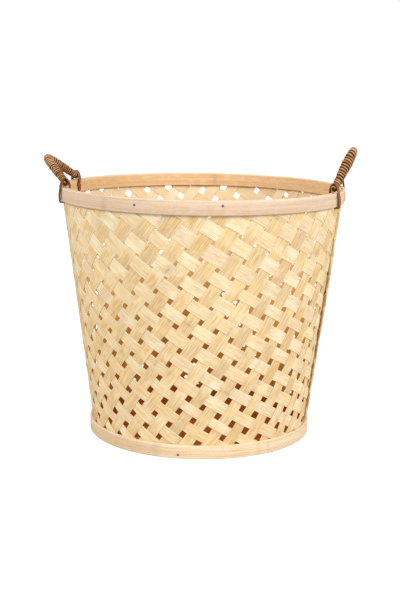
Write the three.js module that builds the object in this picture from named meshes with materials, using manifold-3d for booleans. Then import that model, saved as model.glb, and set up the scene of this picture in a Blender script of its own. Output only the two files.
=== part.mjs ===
import * as THREE from "three";
import { mergeVertices } from "three/addons/utils/BufferGeometryUtils.js";
import Module from "manifold-3d";

// A tapered round storage basket of split bamboo, in millimetres, +Z up.
// The origin is the middle of the floor's underside, which stands level with the base hoop.
// Azimuths are degrees from +X, counter-clockwise from above; the front faces -Y.

// Overall size
const basketHeight = 366;
const rimRadius = 209;
const baseRadius = 165.5;

// Hoops: flat bent laths that clamp the weave at the rim and at the base
const rimHoopHeight = 20.2;
const baseHoopHeight = 19.8;
const outerHoopThickness = 3.5;
const innerHoopThickness = 3;
const rimHoopFlare = 0.9;
const hoopEdgeBevel = 0.7;

// Woven mat: two layers of splints, rolled into a cone with a lapped seam
const wallThickness = 2.4;
const wallTopSetback = 0.8;
const floorThickness = 2.4;
const floorEdgeSetback = 0.8;
const seamAzimuth = -17;
const seamLap = 12;
const seamBridge = 2;
const seamGap = 0.5;

// Clearance between pieces that touch
const seatGap = 0.3;

// Tacks through the outer hoops
const tackHeadRadius = 1.6;
const tackHeadHeight = 0.9;
const tackShankRadius = 0.7;
const leftTackDrop = 8.9;
const rightTackDrop = 6.5;
const baseTackRise = 5.8;

// Bow handles: a bent cane core wound with cane peel
const coreRadius = 3.4;
const peelRadius = 1.2;
const peelTurns = 38;
const leftBowHeight = 45.2;
const rightBowHeight = 53.6;
const bowTopRadius = 26;
const footBendRadius = 8;
const footPinLength = 11.5;
const footPinTail = 4;
const peelStart = 5.5;
const pivotRise = 6.4;

// Lashings: cane loops that tie each foot of a handle to the rim
const lashRadius = 1.2;
const lashLoops = 2;
const lashSpacing = 0.6;
const lashGap = 0.4;
const lashCornerRadius = 1.8;
const lashEndDrop = 8;

const handles = [
  { side: "left", azimuth: 179, footSpread: 18.4, bowHeight: leftBowHeight, lean: 48.4 },
  { side: "right", azimuth: -10.4, footSpread: 15, bowHeight: rightBowHeight, lean: 23.9 },
];

const tacks = [
  { name: "rim_tack_1", azimuth: 244.7, onRim: true, drop: leftTackDrop },
  { name: "rim_tack_2", azimuth: 277.5, onRim: true, drop: rightTackDrop },
  { name: "base_tack", azimuth: 260, onRim: false, drop: basketHeight - baseTackRise },
];

// Facet counts
const hoopFacets = 96;
const coreSides = 10;
const coreSteps = 60;
const peelSides = 5;
const peelStepsPerTurn = 8;
const lashSides = 6;

const deg = THREE.MathUtils.degToRad;
const wasm = await Module();
wasm.setup();

// Materials
const paleLath = new THREE.MeshStandardMaterial({ color: 0xe8cfb2, roughness: 0.62, metalness: 0 });
const warmLath = new THREE.MeshStandardMaterial({ color: 0xdcb888, roughness: 0.62, metalness: 0 });
const splint = new THREE.MeshStandardMaterial({ color: 0xf0d6a0, roughness: 0.55, metalness: 0 });
const caneCore = new THREE.MeshStandardMaterial({ color: 0x8a5a35, roughness: 0.7, metalness: 0 });
const canePeel = new THREE.MeshStandardMaterial({ color: 0x96643c, roughness: 0.5, metalness: 0 });
const lashPeel = new THREE.MeshStandardMaterial({ color: 0x6b3f22, roughness: 0.5, metalness: 0 });
const darkSteel = new THREE.MeshStandardMaterial({ color: 0x3a2a20, roughness: 0.5, metalness: 0.8 });

const basket = new THREE.Group();

function addPiece(name, geometry, material, parent = basket) {
  const piece = new THREE.Mesh(geometry, material);
  piece.name = name;
  parent.add(piece);
  return piece;
}

function solidFrom(geometry) {
  const bare = geometry.index ? geometry.clone() : geometry;
  bare.deleteAttribute("normal");
  bare.deleteAttribute("uv");
  const merged = mergeVertices(bare, 1e-4);
  const mesh = new wasm.Mesh({
    numProp: 3,
    vertProperties: merged.attributes.position.array,
    triVerts: new Uint32Array(merged.index.array),
  });
  return new wasm.Manifold(mesh);
}

function geometryFrom(solid) {
  const mesh = solid.getMesh();
  const geometry = new THREE.BufferGeometry();
  geometry.setAttribute("position", new THREE.BufferAttribute(mesh.vertProperties, 3));
  geometry.setIndex(new THREE.BufferAttribute(mesh.triVerts, 1));
  return geometry;
}

// A closed profile of [radius, z] corners, counter-clockwise, turned once round the Z axis
function turned(corners) {
  const profile = corners.map(([radius, z]) => new THREE.Vector2(radius, z));
  const onAxis = corners[0][0] === 0;
  if (!onAxis) profile.push(profile[0].clone());
  const geometry = new THREE.LatheGeometry(profile, hoopFacets);
  geometry.rotateX(Math.PI / 2);
  return geometry;
}

// The same profile swept between two azimuths and closed at both ends
function turnedBetween(corners, fromAzimuth, toAzimuth) {
  const steps = Math.ceil(Math.abs(toAzimuth - fromAzimuth) / (360 / hoopFacets));
  const count = corners.length;
  const positions = [];
  for (let step = 0; step <= steps; step++) {
    const angle = deg(fromAzimuth + ((toAzimuth - fromAzimuth) * step) / steps);
    for (const [radius, z] of corners) {
      positions.push(radius * Math.cos(angle), radius * Math.sin(angle), z);
    }
  }
  const index = [];
  for (let step = 0; step < steps; step++) {
    for (let side = 0; side < count; side++) {
      const a = step * count + side;
      const b = step * count + ((side + 1) % count);
      index.push(a, b + count, b, a, a + count, b + count);
    }
  }
  const last = steps * count;
  for (let side = 1; side < count - 1; side++) {
    index.push(0, side, side + 1);
    index.push(last, last + side + 1, last + side);
  }
  const geometry = new THREE.BufferGeometry();
  geometry.setAttribute("position", new THREE.Float32BufferAttribute(positions, 3));
  geometry.setIndex(index);
  return geometry;
}

// A lath's section: outer face from low to high, inner face parallel to it, top and bottom edges eased
function lathSection(lowRadius, highRadius, lowZ, highZ, thickness) {
  const bevel = Math.min(hoopEdgeBevel, thickness / 3);
  return [
    [lowRadius - thickness, lowZ],
    [lowRadius - bevel, lowZ],
    [lowRadius, lowZ + bevel],
    [highRadius, highZ - bevel],
    [highRadius - bevel, highZ],
    [highRadius - thickness, highZ],
  ];
}

// Radii of the wall, worked out from the hoops that clamp it
const rimLowZ = basketHeight - rimHoopHeight;
const wallTopRadius = rimRadius - outerHoopThickness - seatGap;
const wallRimLowRadius = wallTopRadius - rimHoopFlare;
const wallBaseRadius = baseRadius - outerHoopThickness - seatGap;
const wallTopZ = basketHeight - wallTopSetback;
const innerRimRadius = wallTopRadius - wallThickness - seatGap;
const floorRadius = wallBaseRadius - wallThickness - seatGap;
const innerBaseRadius = floorRadius - floorThickness - seatGap;

// Middle of the clamped rim, where each foot is tied
const rimInnermost = innerRimRadius - innerHoopThickness - rimHoopFlare;
const rimMiddle = (rimRadius + rimInnermost) / 2;
const rimHalf = (rimRadius - rimInnermost) / 2;
const pivotZ = basketHeight + pivotRise;

function tackPose(tack) {
  const radius = tack.onRim ? rimRadius - (rimHoopFlare * tack.drop) / rimHoopHeight : baseRadius;
  const z = basketHeight - tack.drop;
  return { radius, z, angle: deg(tack.azimuth) };
}

// A hoop with a bore for each tack that is driven through it
function boredHoop(section, onRim) {
  let hoop = solidFrom(turned(section));
  for (const tack of tacks.filter((entry) => entry.onRim === onRim)) {
    const { radius, z, angle } = tackPose(tack);
    const bore = new THREE.CylinderGeometry(
      tackShankRadius + seatGap, tackShankRadius + seatGap, outerHoopThickness * 3, 12);
    bore.rotateZ(Math.PI / 2);
    bore.translate(radius, 0, z);
    bore.rotateZ(angle);
    hoop = hoop.subtract(solidFrom(bore));
  }
  return geometryFrom(hoop);
}

const outerRim = lathSection(
  rimRadius - rimHoopFlare, rimRadius, rimLowZ, basketHeight, outerHoopThickness);
addPiece("outer_rim_hoop", boredHoop(outerRim, true), paleLath);
addPiece("inner_rim_hoop", turned(lathSection(
  innerRimRadius - rimHoopFlare, innerRimRadius, rimLowZ, basketHeight, innerHoopThickness)), warmLath);
const outerBase = lathSection(baseRadius, baseRadius, 0, baseHoopHeight, outerHoopThickness);
addPiece("outer_base_hoop", boredHoop(outerBase, false), paleLath);
addPiece("inner_base_hoop", turned(lathSection(
  innerBaseRadius, innerBaseRadius, floorThickness + seatGap, baseHoopHeight, innerHoopThickness)), warmLath);

// Floor: a round woven mat whose turned-up edge is clamped between the wall and the inner base hoop
const floorEdgeZ = baseHoopHeight - floorEdgeSetback;
addPiece("woven_floor", turned([
  [0, 0],
  [floorRadius, 0],
  [floorRadius, floorEdgeZ],
  [floorRadius - floorThickness, floorEdgeZ],
  [floorRadius - floorThickness, floorThickness],
  [0, floorThickness],
]), splint);

// Wall: a conical sleeve with a lapped seam, and a slot for each lashing under the rim hoops
function wallRadius(z) {
  const share = (z - baseHoopHeight) / (rimLowZ - baseHoopHeight);
  return wallBaseRadius + (wallRimLowRadius - wallBaseRadius) * THREE.MathUtils.clamp(share, 0, 1);
}

const sleeve = turned([
  [wallBaseRadius - wallThickness, 0],
  [wallBaseRadius, 0],
  [wallBaseRadius, baseHoopHeight],
  [wallRimLowRadius, rimLowZ],
  [wallTopRadius, wallTopZ],
  [wallTopRadius - wallThickness, wallTopZ],
  [wallRimLowRadius - wallThickness, rimLowZ],
  [wallBaseRadius - wallThickness, baseHoopHeight],
]);

function seamBand(innerOffset, outerOffset, fromAzimuth, toAzimuth) {
  const lowZ = baseHoopHeight + outerHoopThickness;
  const highZ = rimLowZ - lashCornerRadius - lashRadius * 2;
  return solidFrom(turnedBetween([
    [wallRadius(lowZ) + innerOffset, lowZ],
    [wallRadius(lowZ) + outerOffset, lowZ],
    [wallRadius(highZ) + outerOffset, highZ],
    [wallRadius(highZ) + innerOffset, highZ],
  ], fromAzimuth, toAzimuth));
}

const flapOuter = seamGap + wallThickness;
const flap = seamBand(seamGap, flapOuter, seamAzimuth, seamAzimuth + seamLap);
const bridge = seamBand(
  -wallThickness / 2, flapOuter, seamAzimuth + seamLap - seamBridge / 2, seamAzimuth + seamLap + seamBridge);

const strandPitch = 2 * lashRadius + lashSpacing;
const slotWidth = strandPitch * (lashLoops - 1) + 2 * lashRadius + 4 * lashGap;
const lashBottomZ = rimLowZ - lashGap - lashRadius;

function footAzimuths(handle) {
  return [
    { place: "front", azimuth: handle.azimuth + (handle.side === "left" ? 1 : -1) * handle.footSpread },
    { place: "rear", azimuth: handle.azimuth - (handle.side === "left" ? 1 : -1) * handle.footSpread },
  ];
}

let wall = solidFrom(sleeve).add(flap).add(bridge);
for (const handle of handles) {
  for (const foot of footAzimuths(handle)) {
    const slot = new THREE.BoxGeometry(wallThickness * 4, slotWidth, 2 * (lashRadius + lashGap));
    slot.translate(wallRimLowRadius, 0, lashBottomZ);
    slot.rotateZ(deg(foot.azimuth));
    wall = wall.subtract(solidFrom(slot));
  }
}
addPiece("woven_wall", geometryFrom(wall), splint);

// Tacks: a low domed head on a shank
for (const tack of tacks) {
  const { radius, z, angle } = tackPose(tack);
  const shankEnd = outerHoopThickness - seatGap;
  const profile = [
    new THREE.Vector2(0, -shankEnd),
    new THREE.Vector2(tackShankRadius, -shankEnd),
    new THREE.Vector2(tackShankRadius, seatGap),
    new THREE.Vector2(tackHeadRadius, seatGap),
    new THREE.Vector2(tackHeadRadius * 0.75, seatGap + tackHeadHeight * 0.7),
    new THREE.Vector2(0, seatGap + tackHeadHeight),
  ];
  const geometry = new THREE.LatheGeometry(profile, 12);
  geometry.rotateZ(-Math.PI / 2);
  const piece = addPiece(tack.name, geometry, darkSteel);
  piece.position.set(radius * Math.cos(angle), radius * Math.sin(angle), z);
  piece.rotation.z = angle;
}

// A path of straight runs and round corners in the XZ plane, read by its length from the start
class RoundedPath extends THREE.Curve {
  constructor(corners, radii) {
    super();
    this.runs = [];
    this.total = 0;
    let from = corners[0];
    for (let i = 1; i < corners.length; i++) {
      const direction = corners[i].clone().sub(corners[i - 1]).normalize();
      const next = corners[i + 1];
      if (!next) {
        this.addRun(from, direction, from.distanceTo(corners[i]), 0);
        break;
      }
      const nextDirection = next.clone().sub(corners[i]).normalize();
      const turn = Math.atan2(direction.cross(nextDirection), direction.dot(nextDirection));
      const setback = radii[i] * Math.tan(Math.abs(turn) / 2);
      const bendStart = corners[i].clone().addScaledVector(direction, -setback);
      this.addRun(from, direction, from.distanceTo(bendStart), 0);
      this.addRun(bendStart, direction, radii[i] * Math.abs(turn), Math.sign(turn) / radii[i]);
      from = corners[i].clone().addScaledVector(nextDirection, setback);
    }
  }

  addRun(start, direction, length, curvature) {
    this.runs.push({ start, direction, length, curvature, begins: this.total });
    this.total += length;
  }

  at(distance) {
    const run = this.runs.findLast((entry) => distance >= entry.begins) ?? this.runs[0];
    const along = distance - run.begins;
    const turned = along * run.curvature;
    const tangent = run.direction.clone().rotateAround(new THREE.Vector2(), turned);
    const point = run.start.clone();
    if (run.curvature === 0) {
      point.addScaledVector(run.direction, along);
    } else {
      const side = new THREE.Vector2(-run.direction.y, run.direction.x).divideScalar(run.curvature);
      point.add(side).sub(side.rotateAround(new THREE.Vector2(), turned));
    }
    return {
      point: new THREE.Vector3(point.x, 0, point.y),
      tangent: new THREE.Vector3(tangent.x, 0, tangent.y),
      side: new THREE.Vector3(-tangent.y, 0, tangent.x),
    };
  }

  getPoint(share, target = new THREE.Vector3()) {
    return target.copy(this.at(share * this.total).point);
  }
}

// A closed round tube through points, each with the direction that its first side faces
function tubeThrough(points, facings, radius, sides) {
  const positions = [];
  const tangent = new THREE.Vector3();
  const across = new THREE.Vector3();
  const up = new THREE.Vector3();
  points.forEach((point, i) => {
    const before = points[Math.max(i - 1, 0)];
    const after = points[Math.min(i + 1, points.length - 1)];
    tangent.copy(point).sub(before).normalize();
    tangent.add(after.clone().sub(point).normalize()).normalize();
    up.copy(facings[i]).addScaledVector(tangent, -facings[i].dot(tangent)).normalize();
    across.crossVectors(tangent, up);
    for (let side = 0; side < sides; side++) {
      const angle = (2 * Math.PI * side) / sides;
      const corner = point.clone()
        .addScaledVector(up, radius * Math.cos(angle))
        .addScaledVector(across, radius * Math.sin(angle));
      positions.push(corner.x, corner.y, corner.z);
    }
  });
  const index = [];
  for (let ring = 0; ring < points.length - 1; ring++) {
    for (let side = 0; side < sides; side++) {
      const a = ring * sides + side;
      const b = ring * sides + ((side + 1) % sides);
      index.push(a, b, b + sides, a, b + sides, a + sides);
    }
  }
  const last = (points.length - 1) * sides;
  for (let side = 1; side < sides - 1; side++) {
    index.push(0, side + 1, side);
    index.push(last, last + side, last + side + 1);
  }
  const geometry = new THREE.BufferGeometry();
  geometry.setAttribute("position", new THREE.Float32BufferAttribute(positions, 3));
  geometry.setIndex(index);
  return geometry;
}

// The least gap between stretches of one wound tube that are at least half a turn apart
function leastGap(points, halfTurn, radius) {
  let least = Infinity;
  for (let i = 0; i < points.length; i++) {
    for (let j = i + halfTurn; j < points.length; j++) {
      least = Math.min(least, points[i].distanceTo(points[j]));
    }
  }
  return least - 2 * radius;
}

// Handle: its feet lie on the pivot line along local X, and the bow stands up local Z
function bowPath(handle) {
  const lashX = rimMiddle * Math.sin(deg(handle.footSpread));
  const legX = lashX - (footPinLength - footPinTail);
  const slope = bowSlope(legX, handle.bowHeight);
  const peakZ = legX * Math.tan(slope);
  const corners = [
    new THREE.Vector2(lashX + footPinTail, 0),
    new THREE.Vector2(legX, 0),
    new THREE.Vector2(0, peakZ),
    new THREE.Vector2(-legX, 0),
    new THREE.Vector2(-lashX - footPinTail, 0),
  ];
  return new RoundedPath(corners, [0, footBendRadius, bowTopRadius, footBendRadius, 0]);
}

// The legs' slope that brings the rounded top of the bow to its height
function bowSlope(legX, height) {
  let low = 0.1;
  let high = 1.4;
  for (let i = 0; i < 40; i++) {
    const slope = (low + high) / 2;
    const top = legX * Math.tan(slope) - bowTopRadius * (1 / Math.cos(slope) - 1);
    if (top < height) low = slope;
    else high = slope;
  }
  return (low + high) / 2;
}

function coreGeometry(path) {
  const section = new THREE.Shape();
  for (let side = 0; side < coreSides; side++) {
    const angle = (2 * Math.PI * side) / coreSides;
    const corner = new THREE.Vector2(Math.cos(angle), Math.sin(angle)).multiplyScalar(coreRadius);
    if (side === 0) section.moveTo(corner.x, corner.y);
    else section.lineTo(corner.x, corner.y);
  }
  return new THREE.ExtrudeGeometry(section, { steps: coreSteps, extrudePath: path, bevelEnabled: false });
}

// The peel winds from just above one foot bend to just above the other
function peelGeometry(path, name) {
  const footBend = path.runs[0].length + path.runs[1].length;
  const begin = footBend + peelStart - footBendRadius / 2;
  const length = path.total - 2 * begin;
  const windRadius = coreRadius + seatGap + peelRadius;
  const steps = peelTurns * peelStepsPerTurn;
  const points = [];
  const facings = [];
  for (let step = 0; step <= steps; step++) {
    const { point, side } = path.at(begin + (length * step) / steps);
    const angle = (2 * Math.PI * step) / peelStepsPerTurn;
    const facing = side.multiplyScalar(Math.cos(angle)).add(new THREE.Vector3(0, Math.sin(angle), 0));
    points.push(point.addScaledVector(facing, windRadius));
    facings.push(facing);
  }
  const gap = leastGap(points, peelStepsPerTurn / 2, peelRadius);
  console.log(name + " least gap to itself " + gap.toFixed(2) + " mm");
  const first = path.at(begin).tangent;
  const last = path.at(begin + length).tangent;
  points.unshift(points[0].clone().addScaledVector(first, -2 * peelRadius));
  facings.unshift(facings[0]);
  points.push(points[points.length - 1].clone().addScaledVector(last, 2 * peelRadius));
  facings.push(facings[facings.length - 1]);
  return tubeThrough(points, facings, peelRadius, peelSides);
}

// One lashing in its own frame: X along the rim, Y inward, Z up from the floor's plane
function lashGeometry(name) {
  const reach = rimHalf + lashGap + lashRadius;
  const topZ = pivotZ + coreRadius + lashGap + lashRadius;
  const archZ = topZ - reach;
  const lowCornerZ = lashBottomZ + lashCornerRadius;
  const lowCornerY = reach - lashCornerRadius;
  const outline = [];
  const arc = (centreY, centreZ, radius, fromDeg, toDeg, steps) => {
    for (let step = 0; step < steps; step++) {
      const angle = deg(fromDeg + ((toDeg - fromDeg) * step) / steps);
      outline.push(new THREE.Vector2(centreY + radius * Math.cos(angle), centreZ + radius * Math.sin(angle)));
    }
  };
  const endZ = basketHeight - lashEndDrop;
  outline.push(new THREE.Vector2(reach, endZ));
  outline.push(new THREE.Vector2(reach, (endZ + lowCornerZ) / 2));
  arc(lowCornerY, lowCornerZ, lashCornerRadius, 0, -90, 4);
  arc(-lowCornerY, lowCornerZ, lashCornerRadius, -90, -180, 4);
  outline.push(new THREE.Vector2(-reach, lowCornerZ));
  outline.push(new THREE.Vector2(-reach, (archZ + lowCornerZ) / 2));
  arc(0, archZ, reach, 180, 0, 11);
  outline.push(new THREE.Vector2(reach, archZ));
  const points = [];
  const facings = [];
  const facing = new THREE.Vector3(1, 0, 0);
  const steps = outline.length * lashLoops;
  for (let step = 0; step <= steps; step++) {
    const corner = outline[step % outline.length];
    const along = strandPitch * (step / outline.length - lashLoops / 2);
    points.push(new THREE.Vector3(along, corner.x, corner.y));
    facings.push(facing);
  }
  const gap = leastGap(points, outline.length / 2, lashRadius);
  console.log(name + " least gap to itself " + gap.toFixed(2) + " mm");
  const down = new THREE.Vector3(0, 0, -1);
  points.unshift(points[0].clone().addScaledVector(down, -2 * lashRadius));
  points.push(points[points.length - 1].clone().addScaledVector(down, 2 * lashRadius));
  facings.push(facing, facing);
  return tubeThrough(points, facings, lashRadius, lashSides);
}

for (const handle of handles) {
  const path = bowPath(handle);
  const heading = new THREE.Group();
  const chordRadius = rimMiddle * Math.cos(deg(handle.footSpread));
  const angle = deg(handle.azimuth);
  heading.position.set(chordRadius * Math.cos(angle), chordRadius * Math.sin(angle), pivotZ);
  heading.rotation.z = angle + Math.PI / 2;
  const tilt = new THREE.Group();
  tilt.rotation.x = deg(handle.lean);
  heading.add(tilt);
  basket.add(heading);
  addPiece(handle.side + "_handle_core", coreGeometry(path), caneCore, tilt);
  const peelName = handle.side + "_handle_peel";
  addPiece(peelName, peelGeometry(path, peelName), canePeel, tilt);

  for (const foot of footAzimuths(handle)) {
    const name = handle.side + "_" + foot.place + "_lashing";
    const lashing = addPiece(name, lashGeometry(name), lashPeel);
    const footAngle = deg(foot.azimuth);
    lashing.position.set(rimMiddle * Math.cos(footAngle), rimMiddle * Math.sin(footAngle), 0);
    lashing.rotation.z = footAngle + Math.PI / 2;
  }
}

export default basket;
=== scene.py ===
# Round woven bamboo basket with two cane-wound bow handles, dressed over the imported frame.
# Blender works in metres; lengths here are in millimetres until a mesh is made. The front faces -Y.
import math
import random

import bpy
import numpy as np
from mathutils import Matrix, Vector


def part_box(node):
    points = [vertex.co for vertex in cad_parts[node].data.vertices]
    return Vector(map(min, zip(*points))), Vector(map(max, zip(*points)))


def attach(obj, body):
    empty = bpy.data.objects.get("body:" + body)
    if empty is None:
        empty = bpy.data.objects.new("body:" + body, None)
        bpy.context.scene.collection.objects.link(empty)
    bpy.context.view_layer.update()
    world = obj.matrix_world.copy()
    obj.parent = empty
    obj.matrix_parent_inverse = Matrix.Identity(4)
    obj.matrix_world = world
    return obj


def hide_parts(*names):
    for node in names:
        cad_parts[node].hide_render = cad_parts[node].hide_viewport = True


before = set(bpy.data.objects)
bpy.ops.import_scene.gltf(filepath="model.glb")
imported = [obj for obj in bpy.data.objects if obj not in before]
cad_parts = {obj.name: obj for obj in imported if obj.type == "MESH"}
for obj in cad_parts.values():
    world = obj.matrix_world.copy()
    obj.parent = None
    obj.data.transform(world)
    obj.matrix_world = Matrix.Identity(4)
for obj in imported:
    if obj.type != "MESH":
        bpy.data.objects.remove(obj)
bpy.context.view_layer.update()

millimetre = 0.001
random.seed(41)
anyPhase = 6.3  # about a full turn in radians, for random phases
print("frame loaded")


def nodeBox(name):
    low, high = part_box(name)
    return [value / millimetre for value in low], [value / millimetre for value in high]


# 0 to 1 as value goes from 0 to length
def ramp(value, length=1.0):
    return np.clip(value / length, 0, 1)


# What the frame says about the basket's size
rimLow, rimHigh = nodeBox("outer_rim_hoop")
baseLow, baseHigh = nodeBox("outer_base_hoop")
basketHeight = rimHigh[2]
rimRadius = rimHigh[0]
rimHoopBottom = rimLow[2]
baseRadius = baseHigh[0]
baseHoopTop = baseHigh[2]


def addObject(name, data):
    made = bpy.data.objects.new(name, data)
    bpy.context.scene.collection.objects.link(made)
    return made


# The camera stands where the photograph was taken: pixels of a 400 x 600 frame, metres and degrees
view = {
    "focalPixels": 1177.5,
    "framePixels": 600,
    "distance": 1.7299,
    "height": 0.5346,
    "lookDown": 11.14,
    "turn": -0.034,
    "roll": 0.773,
}


def addCamera(v):
    down, turn, roll = (math.radians(v[key]) for key in ("lookDown", "turn", "roll"))
    ahead = Vector((math.sin(turn) * math.cos(down), math.cos(turn) * math.cos(down), -math.sin(down)))
    right = ahead.cross(Vector((0, 0, 1))).normalized()
    up = right.cross(ahead)
    rolledRight = right * math.cos(roll) + up * math.sin(roll)
    rolledUp = up * math.cos(roll) - right * math.sin(roll)
    data = bpy.data.cameras.new("camera")
    data.sensor_width = 36
    data.lens = v["focalPixels"] * data.sensor_width / v["framePixels"]
    data.clip_start = 0.05
    data.clip_end = 60
    camera = addObject("camera", data)
    axes = Matrix((rolledRight, rolledUp, -ahead)).transposed().to_4x4()
    camera.matrix_world = Matrix.Translation((0, -v["distance"], v["height"])) @ axes
    bpy.context.scene.camera = camera


addCamera(view)
print("camera placed")


# Shader nodes: a wire carries one value, and Python's operators join wires with Math nodes
class Wire:
    def __init__(self, owner, socket):
        self.owner = owner
        self.socket = socket

    def maths(self, operation, first, second=0.0):
        return self.owner.node("Math", {"operation": operation}, {0: first, 1: second})

    def __add__(self, other):
        return self.maths("ADD", self, other)

    def __radd__(self, other):
        return self.maths("ADD", other, self)

    def __sub__(self, other):
        return self.maths("SUBTRACT", self, other)

    def __rsub__(self, other):
        return self.maths("SUBTRACT", other, self)

    def __mul__(self, other):
        return self.maths("MULTIPLY", self, other)

    def __rmul__(self, other):
        return self.maths("MULTIPLY", other, self)

    def __abs__(self):
        return self.maths("ABSOLUTE", self)


class Nodes:
    def __init__(self, tree):
        self.tree = tree

    def plug(self, value, socket):
        if isinstance(value, Wire):
            self.tree.links.new(value.socket, socket)
        else:
            socket.default_value = value

    def node(self, kind, settings=None, inputs=None, output=0):
        made = self.tree.nodes.new("ShaderNode" + kind)
        for key, value in (settings or {}).items():
            setattr(made, key, value)
        for key, value in (inputs or {}).items():
            self.plug(value, made.inputs[key])
        return Wire(self, made.outputs[output])

    # One or the other colour, or one laid over the other in a blending mode
    def blend(self, factor, under, over, mode="MIX"):
        settings = {"data_type": "RGBA", "blend_type": mode}
        return self.node("Mix", settings, {0: factor, 6: under, 7: over}, output=2)

    # 0 below low, 1 above high, smooth between
    def step(self, value, low, high):
        settings = {"interpolation_type": "SMOOTHSTEP"}
        return self.node("MapRange", settings, {0: value, 1: low, 2: high, 3: 0.0, 4: 1.0})

    # A colour laid over another where value goes from low to high
    def tint(self, colour, over, value, low, high, amount):
        return self.blend(self.step(value, low, high) * amount, colour, over)


class Finish(Nodes):
    def __init__(self, name):
        self.material = bpy.data.materials.new(name)
        self.material.use_nodes = True
        super().__init__(self.material.node_tree)
        self.surface = self.tree.nodes["Principled BSDF"]

    # What a mesh stores at its points under that name
    def painted(self, name):
        return self.node("Attribute", {"attribute_name": name}, output="Fac")

    # Distance along and across a strip in millimetres, from its own map
    def stripPlace(self):
        place = self.node("UVMap", {"uv_map": "strip"})
        split = self.node("SeparateXYZ", {}, {0: place})
        return split, Wire(self, split.socket.node.outputs[1])

    # Noise drawn out along a strip; alongSize and acrossSize are its grain in millimetres
    def grain(self, place, alongSize, acrossSize, detail=3.0, layer=0.0):
        along, across = place
        vector = self.node("CombineXYZ", {}, {
            0: along * (1 / alongSize), 1: across * (1 / acrossSize), 2: layer})
        return self.node("TexNoise", {}, {"Vector": vector, "Scale": 1.0, "Detail": detail})

    # Distance along a strip from the nearest of bamboo's own nodes
    def awayFromNode(self, along, spacing):
        share = self.node("Math", {"operation": "FRACT"}, {0: along * (1 / spacing)})
        return abs(share - 0.5) * spacing

    def bump(self, height, distance):
        inputs = {"Strength": 1.0, "Distance": distance * millimetre, "Height": height}
        self.plug(self.node("Bump", {}, inputs), self.surface.inputs["Normal"])

    def finishWith(self, colour, roughness, specular):
        self.plug(colour, self.surface.inputs["Base Color"])
        self.plug(roughness, self.surface.inputs["Roughness"])
        self.surface.inputs["Specular IOR Level"].default_value = specular
        return self.material


# A colour as it is read off a screen, 0 to 255
def shade(red, green, blue):
    def linear(value):
        value /= 255
        return value / 12.92 if value <= 0.04045 else ((value + 0.055) / 1.055) ** 2.4
    return (linear(red), linear(green), linear(blue), 1.0)


# The same dictionary with its colours made linear
def shades(v):
    return {key: shade(*value) if isinstance(value, tuple) else value for key, value in v.items()}


def splintFinish(name, v):
    v = shades(v)
    f = Finish(name)
    place = f.stripPlace()
    tone, blush, edge, inside = (f.painted(key) for key in ("tone", "blush", "edge", "inside"))
    streak = f.grain(place, 26, 1.05, 5.0, 1.0)
    broad = f.grain(place, 80, 5.0, 2.0, 7.0)
    patch = f.grain(place, 26, 13, 3.0, 13.0)
    cloud = f.grain(place, 30, 42, 2.0, 43.0)
    fibre = f.grain(place, 18, 0.5, 3.0, 19.0)
    thread = f.grain(place, 26, 0.9, 2.0, 37.0)
    colour = f.blend(tone, v["pale"], v["deep"])
    colour = f.tint(colour, v["amber"], broad, 0.42, 0.66, 0.6)
    colour = f.tint(colour, v["blush"], blush, 0.0, 1.0, 0.8)
    colour = f.tint(colour, v["blush"], cloud, 0.5, 0.64, 0.55)
    colour = f.tint(colour, v["paleAndPaintedHighlight"], cloud, 0.5, 0.36, 0.5)
    colour = f.tint(colour, v["streak"], streak, 0.5, 0.64, v["streaks"])
    colour = f.tint(colour, v["paleAndPaintedHighlight"], streak, 0.49, 0.35, 0.5)
    colour = f.tint(colour, v["grey"], patch, 0.53, 0.7, v["greying"])
    colour = f.tint(colour, v["streak"], fibre, 0.55, 0.7, 0.28)
    colour = f.tint(colour, v["thread"], thread, 0.62, 0.69, 0.6)
    # Bamboo's own nodes: a soft smudge across the splint
    wander = f.grain(place, 30, 14, 2.0, 23.0)
    fromNode = f.awayFromNode(place[0] + wander * 9.0, v["nodeSpacing"])
    smudge = (1 - f.step(fromNode, 0.8, 7.0)) * f.step(patch, 0.3, 0.6)
    colour = f.blend(smudge * 0.45, colour, v["grey"])
    nodeLine = (1 - f.step(fromNode, 0.2, 1.3)) * f.step(broad, 0.45, 0.6)
    colour = f.blend(nodeLine * 0.4, colour, v["nodeLine"])
    speck = f.grain(place, 1.6, 0.9, 1.0, 31.0)
    colour = f.tint(colour, v["nodeLine"], speck, 0.78, 0.84, 0.5)
    # Painted highlight in a band along each splint's edges, and a painted shadow line right at the edge
    colour = f.tint(colour, v["paleAndPaintedHighlight"], edge, 0.87, 0.93, 0.5)
    colour = f.tint(colour, v["rim"], edge, 0.965, 0.99, 0.4)
    # Inward faces take painted shade with amber bounce light, pale near the top and deepening to dark brown
    # towards the bottom; the free edge's cut ends are brown, laid on more strongly lower down as painted
    # shade
    glow = f.blend(streak, v["innerPaintedShadePale"], v["innerPaintedShadeDeep"])
    colour = f.tint(colour, glow, inside, 0.0, 0.6, 0.9)
    colour = f.tint(colour, v["innerPaintedShadeLow"], inside, 0.6, 1.0, 0.9)
    colour = f.tint(colour, v["cutEnd"], blush, 1.0, 1.8, 0.85)
    height = streak * 0.5 + fibre * 0.4 + (1 - f.step(fromNode, 0.0, 2.2)) * 0.4
    f.bump(height, 0.2)
    return f.finishWith(colour, 0.5 + streak * 0.24, 0.2)


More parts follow.
